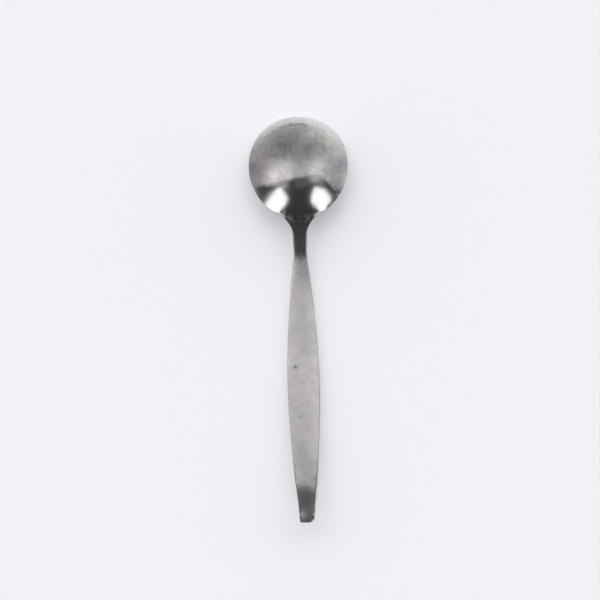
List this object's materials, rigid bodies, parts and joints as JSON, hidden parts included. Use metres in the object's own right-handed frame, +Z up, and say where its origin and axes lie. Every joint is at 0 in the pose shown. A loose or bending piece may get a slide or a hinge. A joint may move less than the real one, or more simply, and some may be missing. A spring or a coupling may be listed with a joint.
{
  "type": "soup spoon",
  "caption": "Round-bowled stainless soup spoon with a narrow neck and a flat tapered handle, lying face down as it rests on a table.",
  "frame": {"origin": "the middle of the spoon's outline seen from above, on the table that it rests on", "axes": "+Z up, away from the table, with the spoon's back upwards; +Y along the spoon from the handle to the bowl; +X across it"},
  "size_m": [0.0426, 0.175, 0.0146],
  "materials": {
    "stainless_steel": "worn satin, polished at the heel, the neck and the tip"
  },
  "bodies": {
    "root": {"bowl": "stainless_steel", "neck": "stainless_steel", "handle": "stainless_steel", "handle_end": "stainless_steel"}
  },
  "joints": []
}
